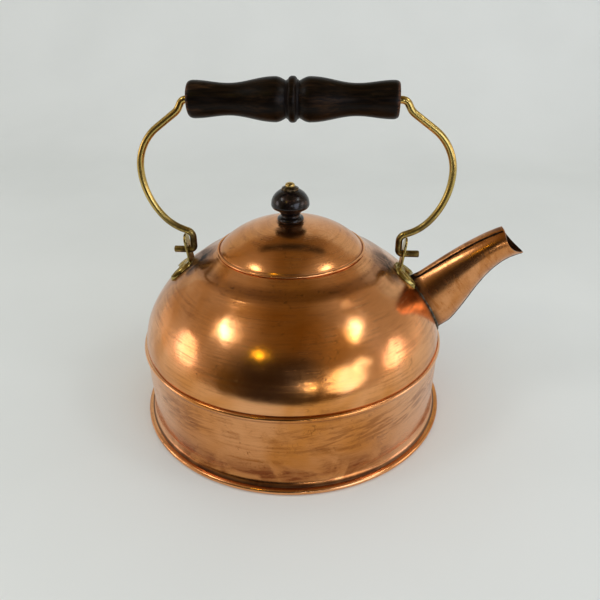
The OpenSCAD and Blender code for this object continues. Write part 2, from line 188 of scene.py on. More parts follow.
def copper(name, kind, streaks=0.5, hair=0.5, rough=0.17):
    """Worn polished copper. kind says which way the polishing marks run, where grime sits and where shade and
    reflection are painted into the colour.
    """
    g = Graph(name)
    r = g.math("SQRT", g.add(g.mul(g.x, g.x), g.mul(g.y, g.y)))
    if kind == "spout":
        # along the spout: marks run across it
        s = g.add(g.mul(g.x, 0.8), g.mul(g.z, 0.6))
        lines = g.vec(g.mul(s, 1.0), g.mul(g.y, 0.12), g.mul(g.sub(g.z, g.x), 0.12))
    else:
        s = g.sub(g.z, r)
        lines = g.vec(g.mul(g.x, 0.035), g.mul(g.y, 0.035), s)
    broad = g.noise(g.co, 17.0, 3.0, 0.55, 0.4)
    patch = g.noise(g.co, 46.0, 5.0, 0.62, 0.8)
    fine = g.noise(lines, 3300.0, 2.0, 0.6)
    streak = g.noise(lines, 420.0, 4.0, 0.62, 0.2)
    grain = g.noise(g.co, 900.0, 3.0, 0.65)
    col = g.mix(g.fade(broad, 0.38, 0.64), LIGHT, DEEP)
    # thin brown tarnish in streaks and cloudy patches
    t1 = g.mul(g.fade(streak, 0.46, 0.66), g.fade(patch, 0.40, 0.60))
    col = g.mix(g.mul(t1, streaks), col, BROWN)
    cloud = g.fade(g.noise(g.co, 30.0, 6.0, 0.68, 1.6), 0.55, 0.78)
    col = g.mix(g.mul(cloud, streaks * 0.8), col, BROWN)
    # hairlines: level lines of two noises, each only in some places
    h1 = g.fade(g.math("ABSOLUTE", g.sub(g.noise(g.co, 70.0, 2.0, 0.5, 2.2), 0.5)), 0.008, 0.0)
    h2 = g.fade(g.math("ABSOLUTE", g.sub(g.noise(g.vec(g.y, g.z, g.x), 130.0, 1.0, 0.5, 1.4), 0.5)), 0.012, 0.0)
    hh = g.add(g.mul(h1, g.fade(patch, 0.46, 0.56)), g.mul(h2, g.fade(broad, 0.56, 0.62)), clamp=True)
    col = g.mix(g.mul(hh, hair), col, (0.12, 0.04, 0.018))
    # polishing marks
    col = g.mix(g.mul(g.fade(fine, 0.42, 0.75), 0.42), col, (0.50, 0.20, 0.07))
    # specks
    sp = g.mul(g.fade(g.cells(g.co, 150.0), 0.10, 0.05), g.fade(patch, 0.52, 0.6))
    col = g.mix(g.mul(sp, 0.8), col, SOOT_AND_SHADE)
    grime_and_shade = None
    if kind == "dome":
        # darker round the ears: solder residue, and painted shadow where the leaves stand off the dome
        ears = g.add(g.near((0.0605, -0.003, 0.0965), 0.004, 0.017),
                     g.near((-0.0590, -0.004, 0.0965), 0.007, 0.015), clamp=True)
        wide = g.add(g.near((0.066, -0.004, 0.090), 0.010, 0.026),
                     g.near((-0.066, -0.004, 0.090), 0.010, 0.026), clamp=True)
        n = g.fade(g.noise(g.co, 120.0, 5.0, 0.7, 0.6), 0.40, 0.62)
        grime_and_shade = g.mul(ears, g.add(0.5, g.mul(n, 0.5)))
        col = g.mix(g.mul(g.mul(wide, n), 0.45), col, BROWN)
        # darker brown band on the shoulder, a painted darker reflection, with flecks of grime
        b = g.mul(g.band(r, 0.0495, 0.0570, 0.0022), g.band(g.z, 0.0955, 0.101, 0.0012))
        fl = g.fade(g.noise(g.co, 420.0, 4.0, 0.75), 0.58, 0.68)
        col = g.mix(g.mul(b, g.add(0.42, g.mul(streak, 0.3))), col, (0.30, 0.12, 0.05))
        col = g.mix(g.mul(g.mul(b, fl), 0.75), col, SOOT_AND_SHADE)
        root = g.near((0.0845, 0.0, 0.079), 0.008, 0.014)
        grime_and_shade = g.add(grime_and_shade, g.mul(g.mul(root, n), 0.35), clamp=True)
        # painted shade: a dark line just above the bead, in its shadow groove
        foot = g.fade(g.z, 0.0508, 0.0497)
        grime_and_shade = g.add(grime_and_shade, g.mul(foot, 0.55), clamp=True)
    if kind == "wall":
        # painted reflection: the wall's sides lighter, as if mirroring the pale backdrop, its middle darker and deeper
        # orange, most low down
        front_reflection = g.fade(g.math("ABSOLUTE", g.add(g.x, 0.002)), 0.078, 0.040)
        col = g.mix(g.mul(g.sub(1.0, front_reflection), 0.7), col, (0.95, 0.56, 0.33))
        col = g.mix(g.mul(front_reflection, g.add(0.24, g.mul(g.fade(g.z, 0.034, 0.010), 0.30))), col, (0.44, 0.145, 0.012))
        # painted shade: dark at the foot of the wall, in the gap to the rolled rim, and a thin dark line under the bead
        low = g.fade(g.z, 0.0052, 0.0040)
        under = g.band(g.z, 0.0460, 0.0468, 0.0004)
        grime_and_shade = g.add(g.mul(low, 0.8), g.mul(under, 0.3), clamp=True)
        dash = g.fade(g.noise(g.vec(g.mul(g.x, 0.14), g.mul(g.y, 0.14), g.sub(g.z, g.mul(g.x, 0.16))), 520.0, 3.0, 0.6, 0.5), 0.46, 0.62)
        # dark streaks low on the wall, real tarnish, kept to the middle where the painted dark reflection sits
        band = g.mul(g.fade(g.z, 0.022, 0.010), g.fade(patch, 0.38, 0.54))
        col = g.mix(g.mul(g.mul(band, front_reflection), g.add(0.45, g.mul(dash, 0.45))), col, (0.22, 0.055, 0.015))
        upper = g.mul(g.band(g.z, 0.026, 0.042, 0.004), g.fade(broad, 0.46, 0.56))
        col = g.mix(g.mul(upper, g.mul(dash, 0.55)), col, (0.25, 0.075, 0.018))
    if kind == "lid":
        swirl = g.near((0.018, -0.008, 0.117), 0.005, 0.012)
        n = g.fade(g.noise(g.co, 160.0, 4.0, 0.6, 2.5), 0.45, 0.6)
        col = g.mix(g.mul(g.mul(swirl, n), 0.55), col, (0.62, 0.22, 0.05))
        # darker in the groove inside the rim bead and round the foot of the knob
        grime_and_shade = g.mul(g.band(r, 0.0419, 0.0425, 0.0003), 0.5)
        knob = g.fade(r, 0.0095, 0.0066)
        grime_and_shade = g.add(grime_and_shade, g.mul(knob, 0.6), clamp=True)
    if kind == "spout":
        col = g.mix(g.add(0.30, g.mul(g.fade(patch, 0.42, 0.6), 0.25)), col, (0.42, 0.13, 0.015))
        n = g.fade(g.noise(g.co, 150.0, 5.0, 0.7, 0.5), 0.36, 0.6)
        # burnt dark near the dome; along the seams dark solder, with painted shade where the edge of the lap overhangs
        root = g.fade(g.sub(g.x, g.mul(g.sub(0.085, g.z), 0.56)), 0.0810, 0.0740)
        seam = g.fade(g.math("ABSOLUTE", g.y), 0.0034, 0.0008)
        grime_and_shade = g.add(g.mul(root, g.add(0.4, g.mul(n, 0.5))), g.mul(g.mul(seam, n), 0.55), clamp=True)
    # grime, and painted shade in grooves and gaps, mixed in as the same near-black
    if grime_and_shade is not None:
        col = g.mix(grime_and_shade, col, SOOT_AND_SHADE)
    rgh = g.add(g.add(rough, g.mul(g.sub(patch, 0.5), 0.16)), g.mul(g.sub(fine, 0.5), 0.10))
    rgh = g.add(rgh, g.mul(t1, 0.08))
    if grime_and_shade is not None:
        rgh = g.add(rgh, g.mul(grime_and_shade, 0.35))
    rgh = g.math("MAXIMUM", rgh, 0.08)
    nrm = g.bump(g.noise(g.co, 34.0, 2.0, 0.5), 0.35, 0.0012)
    nrm = g.bump(fine, 0.10, 0.00012, nrm)
    nrm = g.bump(g.add(grain, g.mul(hh, -0.8)), 0.08, 0.00015, nrm)
    return g.done(col, rgh, nrm, Metallic=1.0)


def brass(name, dark_low=None, olive=0.4, base=(0.60, 0.43, 0.13)):
    g = Graph(name)
    big = g.noise(g.co, 60.0, 4.0, 0.6, 0.6)
    small = g.noise(g.co, 700.0, 4.0, 0.7)
    col = g.mix(g.mul(g.fade(big, 0.40, 0.68), olive), base, (0.30, 0.23, 0.06))
    col = g.mix(g.mul(g.fade(small, 0.5, 0.72), 0.35), col, (0.36, 0.22, 0.06))
    pit = g.fade(g.cells(g.co, 420.0), 0.14, 0.06)
    col = g.mix(g.mul(pit, 0.4), col, (0.10, 0.06, 0.02))
    rgh = g.add(0.24, g.mul(g.sub(big, 0.5), 0.25))
    if dark_low is not None:
        # darker towards the pivots
        d = g.fade(g.z, dark_low[1], dark_low[0])
        d = g.mul(d, g.fade(g.noise(g.co, 150.0, 4.0, 0.7), 0.30, 0.62))
        col = g.mix(g.mul(d, 0.9), col, (0.055, 0.030, 0.012))
        rgh = g.add(rgh, g.mul(d, 0.2))
    nrm = g.bump(small, 0.18, 0.0002)
    nrm = g.bump(g.noise(g.co, 130.0, 2.0), 0.3, 0.0006, nrm)
    return g.done(col, rgh, nrm, Metallic=1.0)


def wood_grip():
    g = Graph("grip_wood")
    along = g.vec(g.mul(g.x, 0.06), g.y, g.z)
    grain = g.noise(along, 900.0, 5.0, 0.65, 0.3)
    pores = g.noise(g.vec(g.mul(g.x, 0.03), g.y, g.z), 2600.0, 2.0, 0.6)
    broad = g.noise(g.vec(g.mul(g.x, 0.35), g.y, g.z), 75.0, 4.0, 0.6, 0.5)
    col = g.mix(g.fade(grain, 0.40, 0.66), (0.0024, 0.0011, 0.0004), (0.010, 0.0042, 0.0011))
    worn = g.fade(broad, 0.50, 0.68)
    col = g.mix(g.mul(worn, 0.75), col, g.mix(g.fade(grain, 0.35, 0.7), (0.010, 0.0034, 0.0014), (0.045, 0.020, 0.006)))
    col = g.mix(g.mul(g.fade(pores, 0.56, 0.70), 0.6), col, (0.006, 0.004, 0.003))
    mid = g.math("ABSOLUTE", g.sub(g.x, 0.0023))
    ring = g.band(mid, 0.0022, 0.0040, 0.0003)
    col = g.mix(g.mul(ring, 0.8), col, (0.005, 0.003, 0.003))
    edge = g.fade(mid, 0.0535, 0.0552)
    col = g.mix(g.mul(edge, g.mul(g.fade(grain, 0.4, 0.6), 0.5)), col, (0.20, 0.08, 0.04))
    rgh = g.add(0.38, g.mul(g.sub(broad, 0.5), 0.3))
    nrm = g.bump(grain, 0.25, 0.0002)
    nrm = g.bump(pores, 0.2, 0.0001, nrm)
    return g.done(col, rgh, nrm, Coat_Weight=0.02, Coat_Roughness=0.3, Specular_IOR_Level=0.11)


def wood_knob():
    g = Graph("knob_wood")
    grain = g.noise(g.vec(g.x, g.y, g.mul(g.z, 0.12)), 1100.0, 4.0, 0.6)
    broad = g.noise(g.co, 160.0, 4.0, 0.65)
    col = g.mix(g.fade(grain, 0.42, 0.66), (0.003, 0.002, 0.0018), (0.012, 0.006, 0.0045))
    col = g.mix(g.mul(g.fade(broad, 0.56, 0.70), 0.6), col, (0.07, 0.03, 0.017))
    rgh = g.add(0.22, g.mul(g.sub(broad, 0.5), 0.35))
    nrm = g.bump(grain, 0.2, 0.00015)
    return g.done(col, rgh, nrm, Coat_Weight=0.22, Coat_Roughness=0.12, Specular_IOR_Level=0.25)


def dull(name, a, b, rough, scale=500.0, metal=1.0):
    g = Graph(name)
    n = g.noise(g.co, scale, 5.0, 0.7, 0.4)
    k = g.noise(g.co, scale * 0.22, 3.0, 0.6)
    col = g.mix(g.fade(n, 0.36, 0.66), a, b)
    rgh = g.add(rough, g.mul(g.sub(k, 0.5), 0.3))
    return g.done(col, rgh, g.bump(n, 0.45, 0.0003), Metallic=metal)


M_DOME = copper("copper_dome", "dome")
M_WALL = copper("copper_wall", "wall", streaks=0.75, hair=0.75, rough=0.22)
M_BASE = copper("copper_base", "plain", streaks=0.4, rough=0.2)
M_LID = copper("copper_lid", "lid", streaks=0.4, rough=0.2)
M_SPOUT = copper("copper_spout", "spout", streaks=0.6, rough=0.24)
# near-black copper for the spout's inner faces: painted shade
M_INSIDE_SHADE = dull("copper_inside_painted_shade", (0.016, 0.008, 0.004), (0.075, 0.028, 0.010), 0.5)
M_SOLDER = dull("solder_dark", (0.035, 0.034, 0.026), (0.16, 0.165, 0.135), 0.42)
M_SEAM = dull("seam_dark", (0.012, 0.009, 0.007), (0.05, 0.032, 0.02), 0.55)
M_WIRE = brass("brass_wire", dark_low=(0.108, 0.134), olive=0.45)
M_EAR = brass("brass_ear", olive=0.85, base=(0.44, 0.33, 0.11))
M_GRIP = wood_grip()
M_KNOB = wood_knob()
M_COLLAR = dull("collar_metal", (0.045, 0.032, 0.02), (0.18, 0.13, 0.07), 0.34, 900.0)
M_BOLT = brass("brass_bolt", olive=0.3, base=(0.62, 0.44, 0.16))

# ------------------------------------------------------------ mesh helpers


def make(name, pts, faces, material, body, replaces=(), sharp=38.0, scale=mm):
    """A mesh piece from points in millimetres."""
    me = bpy.data.meshes.new(name)
    me.from_pydata([tuple(p) for p in (np.asarray(pts, float) * scale)], [], [tuple(f) for f in faces])
    bm = bmesh.new()
    bm.from_mesh(me)
    bmesh.ops.recalc_face_normals(bm, faces=bm.faces)
    bm.to_mesh(me)
    bm.free()
    me.shade_smooth()
    me.set_sharp_from_angle(angle=rad(sharp))
    me.materials.append(material)
    o = bpy.data.objects.new(name, me)
    scene.collection.objects.link(o)
    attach(o, body)
    if replaces:
        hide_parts(*replaces)
    return o


def lathe(profile, seg, axis="z", centre=(0, 0, 0), closed=True, skip=None):
    """Points and faces of a turned shape. profile is (radius, height) pairs; points on the axis are shared."""
    pts, faces, rows = [], [], []
    for r, z in profile:
        if r < 1e-5:
            rows.append([len(pts)] * seg)
            pts.append((0, 0, z))
        else:
            rows.append(list(range(len(pts), len(pts) + seg)))
            pts += [(r * cos(2 * pi * j / seg), r * sin(2 * pi * j / seg), z) for j in range(seg)]
    n = len(profile)
    for i in range(n if closed else n - 1):
        a, b = rows[i], rows[(i + 1) % n]
        if a[0] == a[1] and b[0] == b[1]:
            continue
        for j in range(seg):
            k = (j + 1) % seg
            f = [a[j], a[k], b[k], b[j]]
            f = [v for q, v in enumerate(f) if v not in f[:q]]
            if skip is None or not skip(i, j):
                faces.append(f)
    pts = np.array(pts, float)
    if axis == "x":
        pts = pts[:, [2, 0, 1]]
    return pts + np.array(centre), faces, rows


def mix(a, b, t):
    return a * (1 - t) + b * t


def bez(p, t):
    p = [np.asarray(q, float) for q in p]
    return (1 - t) ** 3 * p[0] + 3 * t * (1 - t) ** 2 * p[1] + 3 * t * t * (1 - t) * p[2] + t ** 3 * p[3]


def curve(p, n):
    return [tuple(bez(p, i / n)) for i in range(n + 1)]


def arc(c, r, a, b, n):
    return [(c[0] + r * cos(rad(mix(a, b, i / n))), c[1] + r * sin(rad(mix(a, b, i / n)))) for i in range(n + 1)]


def line(a, b, n):
    return [(mix(a[0], b[0], i / n), mix(a[1], b[1], i / n)) for i in range(n + 1)]


def wobble(pts, amp, length, seed):
    """Small dents of hand-worked sheet: the same shift for points that are close together."""
    out = []
    for p in pts:
        v = Vector(p) / length + Vector((seed, seed * 0.7, -seed))
        d = noise.noise(v) + 0.45 * noise.noise(v * 2.3)
        q = Vector((p[0], p[1], 0))
        n = q.normalized() if q.length > 1e-6 else Vector((0, 0, 0))
        h = 0.6 if p[2] > 60 else 0.0
        n = Vector((n.x, n.y, h)).normalized()
        out.append(np.array(p) - np.array(n) * amp * abs(d))
    return np.array(out)


# ------------------------------------------------------------ outlines


def dome_r(z):
    return 90.5 * max(0.001, 1 - ((z - 47.5) / 64.2) ** 2) ** 0.567


def dome_dr(z):
    return (dome_r(z + 0.01) - dome_r(z - 0.01)) / 0.02


def dome_off(z, d):
    s = dome_dr(z)
    n = math.sqrt(1 + s * s)
    return (dome_r(z) + d / n, z - d * s / n)


RIM = 94.96
SHEET = 0.8


def shoulder(t, d):
    return (mix(57.05, 44.6, t) - 0.45 * d, mix(96.45, 102.8, t) - 0.5 * sin(pi * t) - 0.9 * d)


SEG = 288

# base with its rolled rim
prof = ([(0, 0)] + line((0.01, 0), (92, 0), 8)[1:]
        + arc((RIM - 1.6, 1.6), 1.6, -90, 90, 20)
        + [(92.4, 3.2), (92.4, 2.4), (94, 2.4), (94, 1.6), (90.8, 1.6), (90, SHEET), (0, SHEET)])
p, f, _ = lathe(prof, SEG, closed=False)
make("base_rolled", p, f, M_BASE, "kettle", ["base_plate"])

# straight wall with its bead
prof = ([(94, 1.6), (94, 2.4), (92.4, 2.4), (92.4, 3.5)]
        + curve([(92.2, 3.9), (91, 4.6), (90.1, 6.4), (90.1, 9)], 16)
        + line((90.1, 9), (91, 46.2), 24)[1:]
        + arc((90.5, 48.1), 1.5, -62, 80, 20)
        + [(90.2, 49.6), (90.2, 44)] + line((90.2, 44), (89.3, 9), 6)[1:]
        + curve([(89.3, 9), (89.3, 6.2), (90.4, 4.2), (91.4, 3.2)], 8)[1:] + [(91.6, 1.6)])
p, f, _ = lathe(prof, SEG)
p = np.where((p[:, 2:3] > 8) & (p[:, 2:3] < 45), wobble(p, 0.16, 26, 3.1), p)
make("wall_band", p, f, M_WALL, "kettle", ["lower_wall"])

# dome: outer face, neck lip, inner face, with the slot behind the spout


def crease(d, n):
    a, b = np.array(dome_off(91.2, d)), np.array(dome_off(91.8, d))
    u, v = np.array(shoulder(0.27, d)), np.array(shoulder(0.22, d))
    p0, p3 = a, u
    p1 = a + (b - a) / np.linalg.norm(b - a) * 4.9
    p2 = u + (v - u) / np.linalg.norm(v - u) * 4.1
    return curve([p0, p1, p2, p3], n)


TOPZ = 91.2
outer = ([(90.2, 49.6)] + [dome_off(mix(50.2, TOPZ, i / 72), 0) for i in range(73)]
         + crease(0, 20)[1:-1] + [shoulder(mix(0.27, 1, i / 20), 0) for i in range(21)]
         + arc((43.3, 102.3), 1.3, 62, 180, 16) + [(42, 97)])
inner = ([(42.8, 97), (42.8, 101.2)] + [shoulder(mix(0.27, 1, i / 12), SHEET) for i in range(12, -1, -1)]
         + [dome_off(mix(50.2, TOPZ, i / 72), -SHEET) for i in range(72, -1, -1)]
         + [(89.4, 49.2), (89.4, 44.2), (90.2, 44.2)])
prof = outer + inner
n_out = len(outer)
first_in = n_out + 2 + 13          # where the inner dome rows start, from the top down


def slot_cell(zz, j):
    jj = (j + SEG // 2) % SEG - SEG // 2
    half = 2 if 57.5 < zz < 79.5 else 1 if 55.5 < zz < 81.5 else 0
    return -half <= jj < half and half > 0


def row_z(i):
    return mix(50.2, TOPZ, (i - 1 + 0.5) / 72)


def skip(i, j):
    if 1 <= i < 73:
        return slot_cell(row_z(i), j)
    k = i - first_in
    if 0 <= k < 72:
        return slot_cell(mix(50.2, TOPZ, (72 - k - 0.5) / 72), j)
    return False


p, f, rows = lathe(prof, SEG, skip=skip)
# walls of the slot, between matching edges of the two faces
for i in range(1, 73):
    for j in range(-3, 3):
        if not slot_cell(row_z(i), j % SEG):
            continue
        inn = lambda a: first_in + 72 - (a - 1)
        for (da, db, nb) in (((0, 0), (1, 0), (0, -1)), ((0, 1), (1, 1), (0, 1)),
                             ((0, 0), (0, 1), (-1, 0)), ((1, 0), (1, 1), (1, 0))):
            ni, nj = i + nb[0], j + nb[1]
            if slot_cell(row_z(ni), nj % SEG):
                continue
            a = (i + da[0], (j + da[1]) % SEG)
            b = (i + db[0], (j + db[1]) % SEG)
            f.append([rows[a[0]][a[1]], rows[b[0]][b[1]], rows[inn(b[0])][b[1]], rows[inn(a[0])][a[1]]])
p = np.where((p[:, 2:3] > 50) & (p[:, 2:3] < 95), wobble(p, 0.22, 30, 1.7), p)
make("dome_shell", p, f, M_DOME, "kettle", ["dome"])

# ------------------------------------------------------------ spout

UP = [(dome_r(85), 85), (80, 91), (102, 110.5), (121, 118)]
DN = [(dome_r(51.5), 51.5), (106.5, 62), (110, 98), (134.5, 103.6)]


def blade(s, a, b):
    return s ** a * (1 - s) ** b / ((a / (a + b)) ** a * (b / (a + b)) ** b)


def spout_pt(t, deg, d, notch=2.2):
    u, v = bez(UP, t), bez(DN, t)
    ln = np.linalg.norm(v - u)
    s = (1 - cos(rad(deg))) / 2
    se = mix(d / ln, 1 - d / ln, s)
    w = (1 - t) ** 2 * 11 + 2 * t * (1 - t) * 10.3 + t * t * 8
    end = deg < 1e-6 or deg > 180 - 1e-6
    y = 0 if end else (w - d) * blade(s, mix(0.7, 0.45, t), mix(0.65, 0.68, t))
    q = mix(u, v, se)
    root = math.sqrt(max(0, (dome_r(q[1]) + 0.06) ** 2 - y * y))
    k = max(0, 1 - t / 0.18) ** 2
    g = notch * max(0, (t - 0.75) / 0.25) ** 2 * sin(rad(deg)) ** 2
    x = mix(q[0], root, 1 if t == 0 else k)
    return np.array((x - 0.85 * g, y, q[1] - 0.5 * g))


def out_dir(t):
    u, v = bez(UP, t), bez(DN, t)
    e = (u - v) / np.linalg.norm(u - v)
    return np.array((e[0], 0, e[1]))


flip = np.array((1, -1, 1))


def band(outer_rows, inner_rows):
    """A closed band of sheet from matching rows of outer and inner points."""
    m1, w = len(outer_rows), len(outer_rows[0])
    w2 = len(inner_rows[0])
    pts = [q for row in outer_rows for q in row] + [q for row in inner_rows for q in row]
    n = m1 * w
    fs = []
    for i in range(m1 - 1):
        fs += [(i * w + j, i * w + j + 1, (i + 1) * w + j + 1, (i + 1) * w + j) for j in range(w - 1)]
        fs += [(n + i * w2 + j, n + (i + 1) * w2 + j, n + (i + 1) * w2 + j + 1, n + i * w2 + j + 1) for j in range(w2 - 1)]
        fs.append((i * w, (i + 1) * w, n + (i + 1) * w2, n + i * w2))
        fs.append((i * w + w - 1, n + i * w2 + w2 - 1, n + (i + 1) * w2 + w2 - 1, (i + 1) * w + w - 1))
    for i in (0, m1 - 1):
        fs += [(i * w + j, n + i * w2 + j, n + i * w2 + j + 1, i * w + j + 1) for j in range(w - 1)]
    return pts, fs


MT = 90
ts = [i / MT for i in range(MT + 1)]
degs = [180 * j / 56 for j in range(57)]
rows_o = [[spout_pt(t, d, 0, 3.3) * flip for d in degs] for t in ts]
rows_i = [[spout_pt(t, d, SHEET, 3.3) * flip for d in degs] for t in ts]
p, f = band(rows_o, rows_i)


def paint_inside_shade(o, w, w2, m1):
    """The faces of the inner rows get a near-black copper, painted shade for the inside of the spout."""
    o.data.materials.append(M_INSIDE_SHADE)
    n = m1 * w
    for q in o.data.polygons:
        if all(v >= n for v in q.vertices):
            q.material_index = 1


paint_inside_shade(make("spout_near_half", p, f, M_SPOUT, "kettle", ["spout_near"]), 57, 57, MT + 1)


def smooth(t):
    t = min(1, max(0, t))
    return t * t * (3 - 2 * t)


rows_o, rows_i = [], []
over = [2, 4, 6, 8, 10, 12, 14, 15.5, 16.6, 17.4]
for t in ts:
    e = out_dir(t)
    ro, ri = [], []
    for d in degs[::-1]:
        ro.append(spout_pt(t, d, 0, 1.2) + e * SHEET * smooth((38.6 - d) / 34))
        ri.append(spout_pt(t, d, SHEET, 1.2) + e * 0.03 * (1 if d == 0 else 0))
    for d in over:
        lift = SHEET * (1.0 if d < 15 else 1.0 - 0.35 * (d - 15) / 2.4)
        ro.append(spout_pt(t, d, 0) * flip + e * (lift + 0.05))
        ri.append(spout_pt(t, d, 0) * flip + e * 0.04)
    rows_o.append(ro)
    rows_i.append(ri)
p, f = band(rows_o, rows_i)
paint_inside_shade(make("spout_far_half", p, f, M_SPOUT, "kettle", ["spout_far"]), 67, 67, MT + 1)


def tube(path, radius, sides=20, closed=False, cap=True, squash=None):
    """A swept round section along points, with a steady frame. radius may be a list."""
    path = [Vector(q) for q in path]
    n = len(path)
    pts, fs = [], []
    t0 = (path[1] - path[0]).normalized()
    up = Vector((0, 1, 0)) if abs(t0.y) < 0.9 else Vector((1, 0, 0))
    up = (up - t0 * up.dot(t0)).normalized()
    for i, q in enumerate(path):
        a, b = path[(i - 1) % n if closed else max(0, i - 1)], path[(i + 1) % n if closed else min(n - 1, i + 1)]
        t = (b - a).normalized()
        up = (up - t * up.dot(t)).normalized()
        side = t.cross(up)
        r = radius[i] if isinstance(radius, (list, tuple, np.ndarray)) else radius
        for k in range(sides):
            w = 2 * pi * k / sides
            pts.append(q + up * (r * cos(w)) + side * (r * sin(w)))
    for i in range(n if closed else n - 1):
        for k in range(sides):
            a, b = i * sides + k, i * sides + (k + 1) % sides
            c, d = ((i + 1) % n) * sides + (k + 1) % sides, ((i + 1) % n) * sides + k
            fs.append((a, b, c, d))
    if cap and not closed:
        fs.append(tuple(range(sides))[::-1])
        fs.append(tuple((n - 1) * sides + k for k in range(sides)))
    return [tuple(q) for q in pts], fs


# solder round the root, a lumpy fillet between dome and spout
ring, radii = [], []
for k in range(160):
    a = 360 * k / 160
    side = 1 if a <= 180 else -1
    d = a if a <= 180 else 360 - a
    q = spout_pt(0, d, 0)
    lap = smooth((36 - d) / 20) if side > 0 else smooth((22 - d) / 4)
    c = np.array((0, 0, (85 + 51.5) / 2))
    o = np.array((0, q[1], q[2] - c[2]))
    o = o / max(1e-6, np.linalg.norm(o))
    z = q[2] + o[2] * (0.35 + 0.8 * lap)
    y = q[1] + o[1] * 0.35
    rr = dome_r(z) + 0.25
    ring.append((math.sqrt(rr * rr - y * y), y * side, z))
    lump = noise.noise(Vector(ring[-1]) * 0.35) + 0.5 * noise.noise(Vector(ring[-1]) * 1.1)
    radii.append(0.62 + 0.22 * lump + 0.35 * smooth((40 - d) / 30))
p, f = tube(ring, radii, 12, closed=True)
make("solder_fillet", p, f, M_SOLDER, "kettle", ["spout_solder"])

# dark solder line along the bottom seam of the spout
path = [spout_pt(t, 180, 0) - out_dir(t) * 0.15 for t in np.linspace(0.015, 0.985, 70)]
radii = [0.55 + 0.14 * noise.noise(Vector(q) * 0.6) for q in path]
p, f = tube([tuple(q) for q in path], radii, 10)
make("seam_bottom", p, f, M_SEAM, "kettle")
# and in the corner of the lap on top: dark solder, also standing in for the shade under the lap's edge
path = [spout_pt(t, 19.0, 0) * flip + out_dir(t) * 0.22 for t in np.linspace(0.01, 0.985, 80)]
radii = [0.50 + 0.22 * noise.noise(Vector(q) * 0.5) for q in path]
p, f = tube([tuple(q) for q in path], radii, 8)
make("seam_top_solder_and_shade", p, f, M_SEAM, "kettle")

# ------------------------------------------------------------ handle

HALF = [(56.9, 0), (4.2, 62), (2, 0), (9, -26), (13.2, 0), (29.6, 54), (42, 40), (26.9, 30), (2.2, 0),
        (4.5, -70), (5.279, 0), (2.5, -90), (1.5, 0)]


def go(p0, s, f0):
    if s[1] == 0:
        return (p0[0] + f0 * s[0] * cos(rad(p0[2])), p0[1] - f0 * s[0] * sin(rad(p0[2])), p0[2])
    h = p0[2] + f0 * s[1]
    r = s[0] if s[1] > 0 else -s[0]
    return (p0[0] + r * (sin(rad(h)) - sin(rad(p0[2]))), p0[1] + r * (cos(rad(h)) - cos(rad(p0[2]))), h)


half = []
at = (0, 187.5, 0)
for s in HALF:
    n = max(1, round(s[0] / 4)) if s[1] == 0 else max(5, round(abs(s[1]) / 4))
    half += [go(at, s, i / n) for i in range(n)]
    at = go(at, s, 1)
half.append(at)
pin_end = at[0] - 1 + 9.0
HX = 2.3
path = [(-q[0], 0, q[1]) for q in half[:0:-1]] + [(q[0], 0, q[1]) for q in half]
e = half[-1]
tip = [(x, 0, e[1]) for x in (e[0] + 2, e[0] + 4, e[0] + 6, pin_end - 0.35)]
tipr = [1.995, 1.995, 1.995, 1.995]
path = ([(-q[0] - 0.35 * (i == 0), 0, q[2]) for i, q in enumerate(tip[::-1][:1])]
        + [(-q[0], 0, q[2]) for q in tip[::-1]] + path + tip + [(tip[-1][0] + 0.35, 0, e[1])])
radii = [1.6] + tipr + [1.995] * (len(path) - 10) + tipr + [1.6]
p, f = tube(path, radii, 32)
make("wire_bail", np.array(p) + np.array((HX, 0, 0)), f, M_WIRE, "handle", ["handle_wire"], sharp=50)


def ease(t):
    return (1 - cos(pi * t)) / 2


def grip_r(x):
    if x < 2.4:
        return 11.7 - 1.5 * (x / 2.4) ** 3
    if x < 3.6:
        return mix(10.2, 9.4, (x - 2.4) / 1.2)
    if x < 9.2:
        return mix(9.4, 11.5, sin(pi / 2 * (x - 3.6) / 5.6))
    if x < 34:
        return mix(11.5, 8.2, ease((x - 9.2) / 24.8))
    if x < 52.6:
        return mix(8.2, 9.7, ease((x - 34) / 18.6))
    return 9.7 - 1.5 * (1 - math.sqrt(max(0, 1 - ((x - 52.6) / 2.9) ** 2)))


xs = ([i * 0.24 for i in range(10)] + [2.4, 2.7, 3.0, 3.3, 3.6] + [3.6 + i * 5.6 / 14 for i in range(1, 15)]
      + [9.2 + i * 24.8 / 24 for i in range(1, 25)] + [34 + i * 18.6 / 16 for i in range(1, 17)]
      + [52.6 + 2.9 * sin(rad(7.5 * i)) for i in range(1, 13)])
prof = ([(2.06, -55.5)] + [(grip_r(x), -x) for x in xs[:0:-1]] + [(grip_r(x), x) for x in xs] + [(2.06, 55.5)])
p, f, _ = lathe(prof, 96, axis="x", centre=(HX, 0, 187.5))
make("grip_turned", p, f, M_GRIP, "grip_body", ["grip"], sharp=32)

# ------------------------------------------------------------ lid

LZ = 103.7


def lid_zt(r):
    return LZ + 1.35 + (120 - LZ - 1.35) * max(0, 1 - (r / 41.9) ** 2.5) ** 0.86


def lid_in(r):
    return lid_zt(r) - SHEET * math.sqrt(1 + ((lid_zt(r - 0.05) - lid_zt(r + 0.05)) / 0.1) ** 2)


c = (43.0, LZ + 0.75)
lr = [mix(1.7, 41.9, sin(pi / 2 * i / 56)) for i in range(57)]
prof = ([(q, lid_zt(q)) for q in lr]
        + [(42.3, LZ + 1.0)] + arc(c, 0.75, 120, -90, 18) + [(40.6, LZ), (40.6, LZ + 0.9)]
        + [(mix(1.7, 40.2, i / 30), lid_in(mix(1.7, 40.2, i / 30))) for i in range(29, -1, -1)])
p, f, _ = lathe(prof, 224)
make("lid_domed", p, f, M_LID, "lid", ["lid_shell"])

